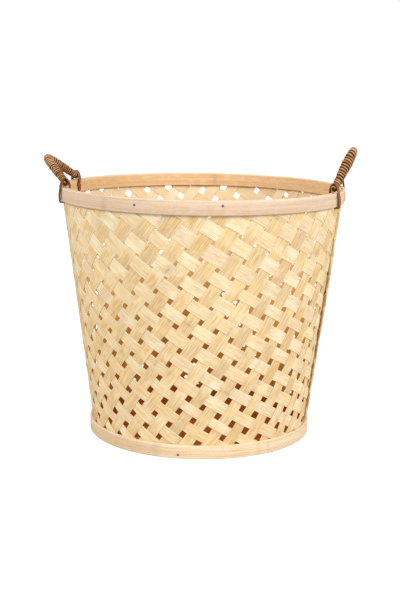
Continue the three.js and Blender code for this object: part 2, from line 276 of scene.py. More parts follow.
def lathFinish(name, v):
    v = shades(v)
    f = Finish(name)
    place = f.stripPlace()
    streak = f.grain(place, 90, 1.4, 4.0, 2.0)
    band = f.grain(place, 320, 4.5, 2.0, 5.0)
    bloom = f.grain(place, 14, 6, 5.0, 11.0)
    pore = f.grain(place, 3.2, 0.8, 3.0, 41.0)
    fibre = f.grain(place, 18, 0.5, 3.0, 17.0)
    edge, smudge, stain = (f.painted(key) for key in ("edge", "blush", "tone"))
    colour = f.blend(f.step(band, 0.38, 0.64), v["pale"], v["deep"])
    colour = f.tint(colour, v["bloom"], bloom, 0.46, 0.64, 0.8)
    colour = f.blend(stain, colour, v["stain"])
    # Painted light: the top of the lath is paler, lit from above
    colour = f.tint(colour, v["paintedTopLight"], edge + band * 0.1, 0.2, 0.06, 0.6)
    colour = f.tint(colour, v["streak"], streak, 0.49, 0.66, v["streaks"])
    colour = f.tint(colour, v["streak"], fibre, 0.56, 0.72, 0.35)
    colour = f.tint(colour, v["streak"], pore, 0.52, 0.7, v["pores"])
    speck = f.grain(place, 1.5, 0.9, 1.0, 29.0)
    colour = f.tint(colour, v["speck"], speck, 0.76, 0.84, 0.5)
    wander = f.grain(place, 24, 11, 2.0, 23.0)
    fromNode = f.awayFromNode(place[0] + wander * 10.0 + v["nodePlace"], v["nodeSpacing"])
    nodeShade = (1 - f.step(fromNode, 1.0, 8.0)) * f.step(bloom, 0.4, 0.65)
    colour = f.blend(nodeShade * 0.12, colour, v["speck"])
    colour = f.blend(smudge * f.step(bloom + wander, 0.75, 1.15), colour, v["speck"])
    # Painted shade along the bottom edge and underside of the lath, in the speck colour
    colour = f.tint(colour, v["speck"], edge, 0.9, 1.0, 0.5)
    f.bump(streak * 0.5 + fibre * 0.4 + bloom * 0.3, 0.25)
    return f.finishWith(colour, 0.55 + streak * 0.22, 0.2)


def caneFinish(name, v):
    v = shades(v)
    f = Finish(name)
    place = f.stripPlace()
    edge, apex = (f.painted(key) for key in ("edge", "blush"))
    streak = f.grain(place, 22, 0.7, 3.0, 3.0)
    stain = f.grain(place, 60, 9, 3.0, 8.0)
    # Pale patches on the crests of the turns: partly wear, most of it at the top of a bow, and partly a
    # painted highlight along each crest
    rub = f.grain(place, 14, 3, 2.0, 15.0) + apex * 0.25
    worn = f.step(rub, 0.46, 0.6) * (1 - f.step(edge, 0.15, 0.5))
    colour = f.blend(f.step(stain, 0.35, 0.68), v["pale"], v["deep"])
    colour = f.tint(colour, v["streak"], streak, 0.48, 0.7, 0.5)
    colour = f.blend(worn * 0.7, colour, v["worn"])
    # Darker in the grooves between turns and on a strand's sides: painted shade, with some dirt in the
    # grooves
    uneven = 0.85 + 0.15 * f.step(stain, 0.4, 0.62)
    groove = f.step(edge, 0.35, 0.75) * uneven * (1 - apex * 0.55)
    colour = f.blend(groove * v["grooves"], colour, v["groove"])
    f.bump(streak, 0.14)
    return f.finishWith(colour, 0.5 + streak * 0.25, 0.14)


def steelFinish():
    f = Finish("darkSteel")
    f.surface.inputs["Metallic"].default_value = 0.6
    coords = f.node("TexCoord", {}, output="Object")
    rust = f.node("TexNoise", {}, {"Vector": coords, "Scale": 900.0, "Detail": 2.0})
    colour = f.blend(f.step(rust, 0.4, 0.65), shade(132, 100, 72), shade(84, 66, 54))
    f.bump(rust, 0.06)
    return f.finishWith(colour, 0.35 + rust * 0.3, 0.5)


# The inside colours are painted shade with amber bounce light on inward faces; rim is a painted shadow line
# along the splints' edges, beside a painted highlight in the palest colour; cutEnd is the cut ends' brown,
# laid on more strongly lower down as painted shade
splintShades = {
    "falling": {  # the splints that run down to the right are creamier
        "pale": (252, 232, 188), "deep": (242, 208, 148), "amber": (236, 198, 132),
        "paleAndPaintedHighlight": (254, 242, 212), "blush": (236, 212, 178),
        "streak": (214, 176, 122), "grey": (206, 180, 144), "nodeLine": (150, 112, 72),
        "innerPaintedShadePale": (242, 192, 88), "innerPaintedShadeDeep": (236, 174, 56), "innerPaintedShadeLow": (180, 92, 8),
        "cutEnd": (184, 152, 116), "thread": (176, 136, 96), "rim": (196, 144, 84),
        "streaks": 0.35, "greying": 0.3, "nodeSpacing": 262.0,
    },
    "rising": {  # the splints that run up to the right are more tan
        "pale": (248, 222, 170), "deep": (232, 194, 128), "amber": (228, 184, 112),
        "paleAndPaintedHighlight": (252, 234, 196), "blush": (220, 192, 154),
        "streak": (202, 160, 104), "grey": (204, 170, 122), "nodeLine": (140, 102, 62),
        "innerPaintedShadePale": (238, 186, 84), "innerPaintedShadeDeep": (230, 166, 52), "innerPaintedShadeLow": (172, 86, 6),
        "cutEnd": (150, 116, 84), "thread": (164, 120, 80), "rim": (182, 128, 68),
        "streaks": 0.4, "greying": 0.35, "nodeSpacing": 287.0,
    },
}
# The top edge's colour is painted light from above; the speck colour also paints shade along the bottom
# edge
lathShades = {
    "outerRim": {
        "pale": (232, 206, 176), "deep": (222, 190, 156), "bloom": (224, 204, 184),
        "paintedTopLight": (244, 226, 202), "streak": (198, 160, 122), "speck": (134, 92, 60),
        "stain": (210, 172, 132), "streaks": 0.25, "pores": 0.4,
        "nodeSpacing": 340.0, "nodePlace": 60.0,
    },
    "innerRim": {
        "pale": (240, 204, 156), "deep": (230, 188, 136), "bloom": (240, 210, 170),
        "paintedTopLight": (244, 218, 180), "streak": (206, 156, 102), "speck": (140, 92, 50),
        "stain": (214, 168, 116), "streaks": 0.3, "pores": 0.35,
        "nodeSpacing": 310.0, "nodePlace": 20.0,
    },
    "base": {
        "pale": (244, 222, 188), "deep": (236, 206, 164), "bloom": (240, 214, 184),
        "paintedTopLight": (248, 232, 202), "streak": (198, 152, 106), "speck": (156, 116, 78),
        "stain": (210, 168, 122), "streaks": 0.45, "pores": 0.35,
        "nodeSpacing": 365.0, "nodePlace": 262.0,
    },
    # The inner base lath is coloured deep amber as painted shade, low inside the basket
    "innerBase": {
        "pale": (206, 132, 46), "deep": (190, 114, 32), "bloom": (206, 140, 60),
        "paintedTopLight": (214, 150, 70), "streak": (170, 96, 28), "speck": (120, 66, 20),
        "stain": (180, 104, 30), "streaks": 0.4, "pores": 0.35,
        "nodeSpacing": 310.0, "nodePlace": 20.0,
    },
}
# The worn colour is partly wear and partly a painted highlight on the crests; the groove colour is painted
# shade with some dirt
caneShades = {
    "winding": {
        "pale": (192, 134, 78), "deep": (142, 86, 42), "streak": (100, 54, 22),
        "worn": (248, 214, 168), "groove": (34, 6, 0), "grooves": 1.0,
    },
    "core": {
        "pale": (172, 120, 72), "deep": (130, 82, 44), "streak": (92, 52, 26),
        "worn": (190, 142, 94), "groove": (56, 28, 12), "grooves": 0.0,
    },
    "lashing": {
        "pale": (168, 112, 64), "deep": (122, 72, 36), "streak": (90, 50, 24),
        "worn": (206, 156, 108), "groove": (52, 22, 6), "grooves": 0.35,
    },
}
fallingBamboo = splintFinish("fallingBamboo", splintShades["falling"])
risingBamboo = splintFinish("risingBamboo", splintShades["rising"])
rimLath = lathFinish("rimLath", lathShades["outerRim"])
innerRimLath = lathFinish("innerRimLath", lathShades["innerRim"])
baseLath = lathFinish("baseLath", lathShades["base"])
innerBasePaintedShadeLath = lathFinish("innerBasePaintedShadeLath", lathShades["innerBase"])
windingCane = caneFinish("windingCane", caneShades["winding"])
coreCane = caneFinish("coreCane", caneShades["core"])
lashingCane = caneFinish("lashingCane", caneShades["lashing"])
darkSteel = steelFinish()
print("materials made")


# Strips: each is a row of rings of points, kept with its own lengths along and across
class Strips:
    def __init__(self):
        self.points, self.faces, self.places = [], [], []
        self.values = {"tone": [], "blush": [], "edge": [], "inside": []}
        self.count = 0

    # edge, inside, tone and blush hold one number for the strip, for each point of a ring or for each point
    def add(self, rings, along, across, edge=0.0, inside=0.0, tone=0.5, blush=0.0):
        steps, sides = rings.shape[:2]
        i, j = np.meshgrid(np.arange(steps - 1), np.arange(sides), indexing="ij")
        i, j = i.ravel(), j.ravel()
        k = (j + 1) % sides
        quads = np.stack([i * sides + j, i * sides + k, (i + 1) * sides + k, (i + 1) * sides + j], axis=1)
        u = np.stack([along[i], along[i], along[i + 1], along[i + 1]], axis=1)
        v = np.stack([across[j], across[j + 1], across[j + 1], across[j]], axis=1)
        flat = rings.reshape(-1, 3)
        a, b, c, d = (flat[quads[:, n]] for n in range(4))
        middle = flat.mean(axis=0)
        volume = np.einsum("ij,ij->i", a - middle, np.cross(b - middle, c - middle)).sum()
        volume += np.einsum("ij,ij->i", a - middle, np.cross(c - middle, d - middle)).sum()
        turn = slice(None, None, -1 if volume < 0 else 1)
        first = list(range(sides))
        last = [(steps - 1) * sides + n for n in first]
        for quad, place in zip(quads[:, turn], np.stack([u, v], axis=2)[:, turn]):
            self.faces.append((quad + self.count).tolist())
            self.places.extend(place.tolist())
        for ring, atStep in ((first[::-1], 0), (last, steps - 1)):
            self.faces.append([n + self.count for n in ring[turn]])
            self.places.extend([[along[atStep], across[n % sides]] for n in ring[turn]])
        self.points.append(flat)
        for key, value in (("tone", tone), ("blush", blush), ("edge", edge), ("inside", inside)):
            self.values[key].append(np.broadcast_to(value, (steps, sides)).ravel())
        self.count += len(flat)

    def piece(self, name, material, body, slot, nodes=(), sharpAngle=38.0):
        mesh = bpy.data.meshes.new(name)
        mesh.from_pydata((np.concatenate(self.points) * millimetre).tolist(), [], self.faces)
        mesh.uv_layers.new(name="strip").data.foreach_set("uv", np.array(self.places).ravel())
        for key, value in self.values.items():
            mesh.attributes.new(key, "FLOAT", "POINT").data.foreach_set("value", np.concatenate(value))
        mesh.polygons.foreach_set("use_smooth", [True] * len(mesh.polygons))
        mesh.set_sharp_from_angle(angle=math.radians(sharpAngle))
        mesh.materials.append(material)
        made = addObject(name, mesh)
        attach(made, body)
        if nodes:
            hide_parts(*nodes)
        print(name, len(mesh.polygons), "faces")
        return made


# The wall is a flat woven mat rolled into a cone. u and v are millimetres on the unrolled mat: u runs
# to the right from the front's middle line and v up it, from where the cone's radius is midRadius.
mat = {
    "thickness": 0.9,  # of one splint
    "lift": 0.5,  # how far a splint's middle goes over or under the mat's middle
    "stiffness": 3.6,  # higher keeps a splint flat over a crossing and bends it in the hole
    # Of the splints: height and width
    "frontWidths": [(20, 15.8), (150, 16.8), (215, 17.4), (250, 18.2), (300, 20.0), (346, 21.6)],
    "rearWidths": [(20, 19.5), (150, 20.5), (205, 20.0), (245, 18.2), (300, 17.0), (346, 16.4)],
    "rearBlend": 1.2,  # higher goes more suddenly from the front's widths to the rear's
    "closerAt": 38.0,  # azimuth where the weave is closer below the rim
    "closer": 1.5,
    "closerSpread": 26.0,
    "closerBelow": 285.0,
    "closerFade": 30.0,
    "paintedShadeTop": 300.0,  # inward faces take little painted shade with amber bounce light down to this height, and all of it from the next one down
    "paintedShadeFull": -60.0,
    "paintedShadeLeast": 0.05,
    "widthSpread": 0.9,
    "shiftSpread": 0.65,
    "sway": 0.55,
    "swayPace": (0.25, 0.6),
    "waver": [(0.18, 1.7, 1), (0.12, 4.1, 2)],  # of the half width: size, pace, shift from line to line
    "tone": 0.45,
    "toneSpread": 0.3,
    "blushes": (0, 0, 0, 0, 0, 0.3, 0.3, 0.65),  # one of these for each splint
    "mapShift": 5000,  # no two splints take the same piece of the grain
    "fewestSteps": 4,  # a shorter bit of splint is left out
    "crown": 0.1,
    "edge": 0.22,
    "stepsPerCrossing": 8,
    "acrossPoints": 3,
    "fallingStep": (20.77, -13.42),  # from hole to hole down to the right
    "risingStep": (14.22, 20.86),  # from hole to hole up to the right
    "firstHole": (-14.95, -93.69),
    "reach": 60,  # crossings counted each way from there, more than the mat holds
    "midRadius": 183.0,
    "cut": 1.2,  # the mat ends this far short of the rim's top and the base's bottom
    "freeEdge": -17.0,  # azimuth where the outer end of the mat stops
    "hiddenEdge": 351.5,  # azimuth, a turn on, where the end under it stops
    "cutEnds": 0.5,  # degrees of brown cut ends beside the free edge, with painted shade laid on lower down
    "cutBrown": 1.3,
    "cutPaintedShade": 0.7,  # painted shade, added to the cut ends' brown below this height
    "cutPaintedShadeBelow": 262,
    "cutPaintedShadeFade": 30,
    "edgeSpread": 1.25,  # how much thicker the mat is at its free edge
    "edgeFade": 1.5,
    "outward": 1,  # 1 where a splint's lift goes out of the basket, -1 where it goes into it
    "waist": 0.3,  # how far the wall is drawn in halfway up
    "waistShape": 0.7,
    "lapFrom": -8.5,
    "lapTo": 1.5,
    "lapLift": 2.3,
    "lapGape": 0.9,  # the free edge stands out this much more at this height
    "lapGapeAt": 190,
    "lapGapeSpread": 70,
    "lapPressed": 0.55,  # what is left of the lap's lift near the rim
    "lapPressedAbove": 310,
    "lapPressedFade": 60,
    "lapClose": 12,  # the lap closes over this height beside each hoop
    "frontAzimuth": 270.0,
}
wallThickness = 2.4
hoopThickness = 3.5
seat = 0.3
wallOuterLow = baseRadius - hoopThickness - seat
wallOuterRim = rimRadius - hoopThickness - seat
rimFlare = 0.9
slope = (wallOuterRim - rimFlare - wallOuterLow) / (rimHoopBottom - baseHoopTop)
sineHalf = slope / math.hypot(1, slope)
cosineHalf = 1 / math.hypot(1, slope)
coneFoot = baseHoopTop - wallOuterLow / slope  # height of the cone's tip, far below the floor
middleSlant = mat["midRadius"] / sineHalf


# Azimuth and height of a point of the unrolled mat
def onCone(u, v):
    azimuth = mat["frontAzimuth"] + np.degrees(np.arctan2(u, v + middleSlant)) / sineHalf
    return azimuth, coneFoot + np.hypot(u, v + middleSlant) * sineHalf / slope


# From the unrolled mat to the basket; lift is how far a point stands outside the mat's middle
def roll(u, v, lift):
    azimuth, z = onCone(u, v)
    azimuth = np.clip(azimuth, mat["freeEdge"], mat["hiddenEdge"])
    z = np.clip(z, mat["cut"], basketHeight - mat["cut"])
    radius = wallOuterLow + np.clip(z - baseHoopTop, 0, rimHoopBottom - baseHoopTop) * slope
    radius = radius + ramp(z - rimHoopBottom, basketHeight - rimHoopBottom) * rimFlare
    lap = ramp(mat["lapTo"] - azimuth, mat["lapTo"] - mat["lapFrom"])
    share = ramp(z - baseHoopTop, rimHoopBottom - baseHoopTop)
    radius = radius - mat["waist"] * np.sin(math.pi * share) ** mat["waistShape"]
    atEdge = ramp(1 - (azimuth - mat["freeEdge"]) / mat["edgeFade"])
    lift = lift * (1 + (mat["edgeSpread"] - 1) * atEdge)
    gape = np.exp(-((z - mat["lapGapeAt"]) / mat["lapGapeSpread"]) ** 2) * mat["lapGape"]
    freely = ramp(mat["lapPressedAbove"] - z, mat["lapPressedFade"])
    pressed = mat["lapPressed"] + (1 - mat["lapPressed"]) * freely
    lap = lap * lap * (3 - 2 * lap) * (mat["lapLift"] + gape) * pressed
    lap = lap * ramp(z - baseHoopTop, mat["lapClose"])
    lap = lap * ramp(rimHoopBottom - z, mat["lapClose"])
    radius = radius - wallThickness / 2 + lap + lift * cosineHalf
    z = z - lift * sineHalf * ((z > baseHoopTop) & (z < rimHoopBottom))
    angle = np.radians(azimuth)
    return np.stack([radius * np.cos(angle), radius * np.sin(angle), z], axis=-1)


# Which points are on the mat, and how wide the splints are there
def insideMat(u, v):
    azimuth, z = onCone(u, v)
    within = (azimuth > mat["freeEdge"]) & (azimuth < mat["hiddenEdge"])
    within &= (z > mat["cut"]) & (z < basketHeight - mat["cut"])
    rear = ramp(0.5 + mat["rearBlend"] * np.sin(np.radians(azimuth)))
    front, behind = (np.interp(z, *zip(*mat[key])) for key in ("frontWidths", "rearWidths"))
    away = (azimuth - mat["closerAt"] + 180) % 360 - 180
    below = ramp(mat["closerBelow"] - z, mat["closerFade"])
    closer = mat["closer"] * np.exp(-(away / mat["closerSpread"]) ** 2) * below
    return within, front + (behind - front) * rear + closer


# Points round a flat splint: their share of the half width, what the softened edge takes off it, and height
def splintSection(v):
    halfThickness = v["thickness"] / 2
    soft = halfThickness - v["edge"]
    over = np.linspace(-1, 1, v["acrossPoints"])
    under = np.linspace(1, -1, v["acrossPoints"] - 1)
    share = np.concatenate([over, [1, 1], under, [-1, -1]])
    inset = np.concatenate([over, [0, 0], under, [0, 0]]) * v["edge"]
    height = np.concatenate([halfThickness + v["crown"] * (1 - over ** 2), [soft, -soft],
                             np.full_like(under, -halfThickness), [-soft, soft]])
    return share, inset, height


def around(section):
    closed = np.vstack([section, section[:1]])
    return np.concatenate([[0], np.cumsum(np.hypot(*np.diff(closed, axis=0).T))])


# One family of splints: straight lines on the mat, over and under the other family in turn
def weaveFamily(strips, origin, stepAlong, stepAside, overSign, count, inside, placeOn, v):
    origin, stepAlong, stepAside = (np.array(value, float) for value in (origin, stepAlong, stepAside))
    length = np.hypot(*stepAlong)
    side = np.array([-stepAlong[1], stepAlong[0]]) / length
    share, inset, height = splintSection(v)
    t = np.arange(-count, count, 1 / v["stepsPerCrossing"])
    spare = 12.0  # a splint is kept while either of its edges is on the mat
    hair = 0.05  # degrees
    for line in range(-count, count):
        sway = v["sway"] * np.sin(t * random.uniform(*v["swayPace"]) + random.uniform(0, anyPhase))
        sway = sway + random.gauss(0, v["shiftSpread"])
        centre = origin + (line + 0.5) * stepAside + t[:, None] * stepAlong + sway[:, None] * side
        kept = np.zeros(len(t), bool)
        for shift in (-spare, 0, spare):
            kept |= inside(*(centre + shift * side).T)[0]
        edges = np.flatnonzero(np.diff(np.concatenate([[0], kept.astype(int), [0]])))
        widthShift = random.gauss(0, v["widthSpread"])
        tone = min(max(random.gauss(v["tone"], v["toneSpread"]), 0), 1)
        blush = random.choice(v["blushes"])
        alongShift = random.uniform(0, v["mapShift"])
        acrossShift = random.uniform(0, v["mapShift"])
        for start, stop in zip(edges[::2], edges[1::2]):
            if stop - start < v["fewestSteps"]:
                continue
            run = slice(start, stop)
            wave = np.cos(math.pi * (t[run] - 0.5)) * (-1) ** line * overSign
            wave = np.tanh(v["stiffness"] * wave) / math.tanh(v["stiffness"]) * v["lift"]
            half = (inside(*centre[run].T)[1] + widthShift) / 2
            for size, pace, shift in v["waver"]:
                half = half + size * np.sin(t[run] * pace + line * shift)
            across = half[:, None] * share - inset
            u = centre[run, 0][:, None] + across * side[0]
            w = centre[run, 1][:, None] + across * side[1]
            rings = placeOn(u, w, wave[:, None] + height)
            girth = around(np.stack([half.mean() * share - inset, height], axis=1))
            azimuth = np.degrees(np.arctan2(rings[..., 1], rings[..., 0]))
            # Brown cut ends beside the free edge, laid on more strongly lower down as painted shade where
            # the lap stands out
            cut = ramp(1 - (azimuth - v["freeEdge"]) / v["cutEnds"])
            cut = cut * (azimuth > v["freeEdge"] - hair)
            low = ramp(v["cutPaintedShadeBelow"] - rings[..., 2], v["cutPaintedShadeFade"])
            blushes = np.maximum(blush, cut * (v["cutBrown"] + v["cutPaintedShade"] * low))
            # Painted shade with amber bounce light on inward faces, growing towards the bottom
            amber = ramp(v["paintedShadeTop"] - rings[..., 2], v["paintedShadeTop"] - v["paintedShadeFull"])
            inward = (height * v["outward"] < 0) * (v["paintedShadeLeast"] + (1 - v["paintedShadeLeast"]) * amber)
            # The edge share carries the painted highlight and shadow line along each splint's edges
            strips.add(rings, t[run] * length + alongShift, girth + acrossShift,
                       np.abs(across) / half[:, None], inward, tone, blushes)


def weaveWall(v):
    falling, rising = Strips(), Strips()
    hole, down, up, reach = v["firstHole"], v["fallingStep"], v["risingStep"], v["reach"]
    weaveFamily(falling, hole, down, up, -1, reach, insideMat, roll, v)
    weaveFamily(rising, hole, up, down, 1, reach, insideMat, roll, v)
    falling.piece("wallFallingSplints", fallingBamboo, "basket", "splint", ["woven_wall"])
    rising.piece("wallRisingSplints", risingBamboo, "basket", "splint")


weaveWall(mat)


# The floor is a round mat of the same splints, its edge turned up between the wall and the inner hoop
floorMat = {
    **mat,
    "width": 22.5,
    "turn": 31,  # degrees from +X to the first family of splints
    "firstHole": (4.0, 7.0),
    "reach": 8,
    "turnUp": 1.4,  # radius of the bend at the edge
    "edgeRise": 15.2,
    "edgeLength": 15.0,
    "outward": -1,
    "cutEnds": 0.001,
    # The floor's upward faces take the full painted shade below this height
    "paintedShadeFull": 20.0,
    "stepsPerCrossing": 24,
    "acrossPoints": 11,
}
floorOuter = wallOuterLow - wallThickness - seat
floorThickness = 2.4


def layFloor(u, v, lift):
    span = np.hypot(u, v)
    middle = floorOuter - floorThickness / 2
    bend = floorMat["turnUp"]
    beyond = np.clip(span - (middle - bend), 0, None)
    share = ramp(beyond / (bend * math.pi / 2)) * math.pi / 2
    rise = np.clip(beyond - bend * math.pi / 2, 0, floorMat["edgeRise"])
    radius = np.minimum(span, middle - bend) + bend * np.sin(share)
    z = floorThickness / 2 + bend * (1 - np.cos(share)) + rise
    radius = radius - lift * np.sin(share)
    z = z + lift * np.cos(share)
    away = np.where(span > 0, span, 1)
    return np.stack([u / away * radius, v / away * radius, z], axis=-1)


def insideFloor(u, v):
    span = np.hypot(u, v)
    return span < floorOuter + floorMat["edgeLength"], np.full_like(span, floorMat["width"])


def weaveFloor(v):
    long, cross = Strips(), Strips()
    pitch = np.hypot(*v["risingStep"])
    turn = math.radians(v["turn"])
    along = pitch * np.array((math.cos(turn), math.sin(turn)))
    aside = pitch * np.array((-math.sin(turn), math.cos(turn)))
    weaveFamily(long, v["firstHole"], along, aside, -1, v["reach"], insideFloor, layFloor, v)
    weaveFamily(cross, v["firstHole"], aside, along, 1, v["reach"], insideFloor, layFloor, v)
    long.piece("floorLongSplints", fallingBamboo, "basket", "splint", ["woven_floor"])
    cross.piece("floorCrossSplints", risingBamboo, "basket", "splint")


weaveFloor(floorMat)


# Hoops: flat laths bent into a ring, both ends shaved to a wedge and lapped
hoops = {
    "outerRim": {
        "node": "outer_rim_hoop", "slot": "pale_lath", "finish": rimLath, "thickness": 3.5, "flare": 0.9,
        "lapAt": 62.0, "smudges": [(231.0, 5.0, 0.2), (297.0, 3.0, 0.12)], "stains": [(222.0, 22.0, 0.15)],
    },
    "innerRim": {
        "node": "inner_rim_hoop", "slot": "warm_lath", "finish": innerRimLath, "thickness": 3.0,
        "flare": 0.9, "lapAt": 305.0, "smudges": [(84.0, 4.0, 0.3)], "stains": [(150.0, 30.0, 0.3)],
    },
    "outerBase": {
        "node": "outer_base_hoop", "slot": "pale_lath", "finish": baseLath, "thickness": 3.5, "flare": 0.0,
        "lapAt": 118.0, "smudges": [(248.5, 6.5, 0.2), (301.0, 3.0, 0.15)], "stains": [(226.0, 24.0, 0.3)],
    },
    "innerBase": {
        "node": "inner_base_hoop", "slot": "warm_lath", "finish": innerBasePaintedShadeLath,
        "thickness": 3.0, "flare": 0.0, "lapAt": 20.0, "smudges": [], "stains": [],
    },
}
hoopMake = {
    "lap": 48.0,
    "tip": 0.5,  # thickness that is left at a shaved end
    "round": 0.9,
    "cornerPoints": 4,
    "cornerLength": 1.4,  # of a rounded corner, along the section
    "steps": 360,
    "waver": 0.16,
    "edgeWaver": 0.25,
    "wavers": {"bottom": 5, "top": 7, "face": 11},  # waves in one turn
    "sharp": 50.0,
}


def bendHoop(name, h, v):
    low, high = nodeBox(h["node"])
    radius = high[0]
    circumference = 2 * math.pi * radius
    lapTurn = v["lap"] / circumference
    turn = np.linspace(0, 1 + lapTurn, v["steps"])
    early = ramp(turn / lapTurn)
    late = ramp(turn - 1, lapTurn)
    body = h["thickness"]
    outer = radius - (body - v["tip"]) * (1 - early)
    inner = radius - body + (body - v["tip"]) * late
    phase = random.uniform(0, anyPhase)
    angle = np.radians(h["lapAt"]) + turn * 2 * math.pi
    waves = v["wavers"]
    bottom = low[2] + v["edgeWaver"] * (0.5 + 0.5 * np.sin(angle * waves["bottom"] + phase))
    top = high[2] - v["edgeWaver"] * (0.5 + 0.5 * np.sin(angle * waves["top"] + phase * 2))
    waver = -v["waver"] * (0.5 + 0.5 * np.sin(angle * waves["face"] + phase))
    r = np.minimum(v["round"], (outer - inner) / 2.4)
    points = v["cornerPoints"]
    rings = np.zeros((len(turn), points * 4, 3))
    # Four rounded corners: top outside, bottom outside, bottom inside, top inside
    for corner, (centreZ, centreR) in enumerate((
            (top - r, outer - r), (bottom + r, outer - r), (bottom + r, inner + r), (top - r, inner + r))):
        for n in range(points):
            a = math.radians(90 - 90 * corner - 90 / (points - 1) * n)
            z = centreZ + r * math.sin(a)
            lean = h["flare"] * ((z - low[2]) / (high[2] - low[2]) - 1)
            reach = centreR + r * math.cos(a) + lean + waver
            ring = [reach * np.cos(angle), reach * np.sin(angle), z]
            rings[:, corner * points + n] = np.stack(ring, axis=-1)
    rise = high[2] - low[2]
    bend = np.linspace(0, v["cornerLength"], points)
    across = np.concatenate([bend, rise - v["cornerLength"] + bend, rise + body + bend,
                             2 * rise + body + bend, [2 * rise + 2 * body]])
    # Share of the height from the top: the lath finish paints light near the top and shade along the bottom
    # edge from it
    down = (high[2] - rings[..., 2]) / rise
    smudge = np.zeros_like(down)
    azimuth = np.degrees(angle) % 360
    for place, length, strength in h["smudges"]:
        fade = np.exp(-((azimuth - place) / math.degrees(length / radius)) ** 2)
        smudge = np.maximum(smudge, fade[:, None] * strength)
    stain = np.zeros_like(down)
    for place, width, strength in h["stains"]:
        away = np.abs((azimuth - place + 180) % 360 - 180)
        stain = np.maximum(stain, (np.exp(-((away / width) ** 4)) * strength)[:, None])
    strips = Strips()
    strips.add(rings, turn * circumference + random.uniform(0, 900), across + random.uniform(0, 500),
               down, tone=stain, blush=smudge)
    strips.piece(name, h["finish"], "basket", h["slot"], [h["node"]], v["sharp"])


for hoopName, hoop in hoops.items():
    bendHoop(hoopName + "Hoop", hoop, hoopMake)


# Handles: bows on the feet and at the heights of the solids' bows, with the narrower tops of the real
# ones. The cane core swells under a close winding of flat peel.
handleMake = {
    "pinRadius": 3.4,
    "coreRadius": 3.6,
    "peelPitch": 4.0,
    "peelThickness": 2.7,
    "peelWidth": 0.485,  # half the peel's width as a share of the pitch
    "peelSeat": 0.05,
    "peelSides": 12,
    "peelGirth": 9.0,
    "drift": [(0.3, 0.23, 1.0), (0.12, 0.71, 0.0)],  # the turns don't lie evenly: size, pace, phase
    "uneven": [(0.1, 0.61, 0.0), (0.05, 2.3, 0.0)],  # nor is the peel equally thick
    "footPlump": 0.68,  # the peel lies flatter at the feet
    "leastTurns": 40,
    "stepsPerTurn": 28,
    "steadySteps": 60,  # the turns lie evenly over this many steps at either end
    "taperSteps": 14,
    "taperTip": 0.3,
    "wornLength": 17,  # the top of the bow is rubbed pale and thin over this length
    "wornThinner": 0.3,
    "footRadius": 8.0,
    "pinLength": 11.5,
    "pinTail": 4.0,
    "tailCut": 3.0,  # the cane ends this much short of the bow's end
    "windingStart": 1.2,
    "capLength": 4.0,  # the peel closes round the cane's end over this length
    "capHole": 0.1,
    "domeLength": 3.0,
    "domeStop": 0.98,
    "coreSides": 20,
    "spacing": 1.2,
    "swellFrom": 12.0,
    "swellLength": 34.0,
    "legAt": 0.32,  # middle of a leg's own swelling, as a share of the bow's length
    "legSpread": 0.13,
    "pivotRise": 6.4,
    "rimMiddle": 203.8,
}
bows = {
    "left": {
        "azimuth": 179.0, "spread": 18.4, "height": 45.2, "lean": 48.4,
        "frontSide": 1, "topRadius": 19.0, "legSwell": 0.0,
    },
    "right": {
        "azimuth": -10.4, "spread": 15.0, "height": 53.6, "lean": 23.9,
        "frontSide": -1, "topRadius": 23.0, "legSwell": 0.9,
    },
}


# A bow's middle line in its own plane, as points a fixed step apart, from one pin's tail to the other
def bowLine(b, v, spacing):
    lashX = v["rimMiddle"] * math.sin(math.radians(b["spread"]))
    legX = lashX - (v["pinLength"] - v["pinTail"])
    low, high = 0.1, 1.4  # the legs' slope lies between these and is found by halving
    for _ in range(40):
        rise = (low + high) / 2
        top = legX * math.tan(rise) - b["topRadius"] * (1 / math.cos(rise) - 1)
        low, high = (rise, high) if top < b["height"] else (low, rise)
    tailX = lashX + v["pinTail"]
    corners = ((tailX, 0), (legX, 0), (0, legX * math.tan(rise)), (-legX, 0), (-tailX, 0))
    corners = [np.array(corner, float) for corner in corners]
    radii = [0, v["footRadius"], b["topRadius"], v["footRadius"], 0]
    points = [corners[0]]
    for n in range(1, 4):
        before = (corners[n] - corners[n - 1]) / np.hypot(*(corners[n] - corners[n - 1]))
        after = (corners[n + 1] - corners[n]) / np.hypot(*(corners[n + 1] - corners[n]))
        turn = math.atan2(before[0] * after[1] - before[1] * after[0], before @ after)
        setback = radii[n] * math.tan(abs(turn) / 2)
        start = corners[n] - before * setback
        normal = np.array((-before[1], before[0])) * math.copysign(1, turn)
        centre = start + normal * radii[n]
        steps = max(int(radii[n] * abs(turn) / spacing), 6)
        points.append(start)
        for k in range(1, steps + 1):
            a = turn * k / steps
            arm = start - centre
            points.append(centre + np.array((arm[0] * math.cos(a) - arm[1] * math.sin(a),
                                             arm[0] * math.sin(a) + arm[1] * math.cos(a))))
    points.append(corners[-1])
    points = np.array(points)
    length = np.concatenate([[0], np.cumsum(np.hypot(*np.diff(points, axis=0).T))])
    at = np.arange(0, length[-1], spacing)
    line = np.stack([np.interp(at, length, points[:, 0]), np.interp(at, length, points[:, 1])], axis=1)
    return at, line


# Directions along the rim and inward at an azimuth
def rimAxes(azimuth):
    c, s = math.cos(math.radians(azimuth)), math.sin(math.radians(azimuth))
    return np.array((-s, c, 0)), np.array((-c, -s, 0))


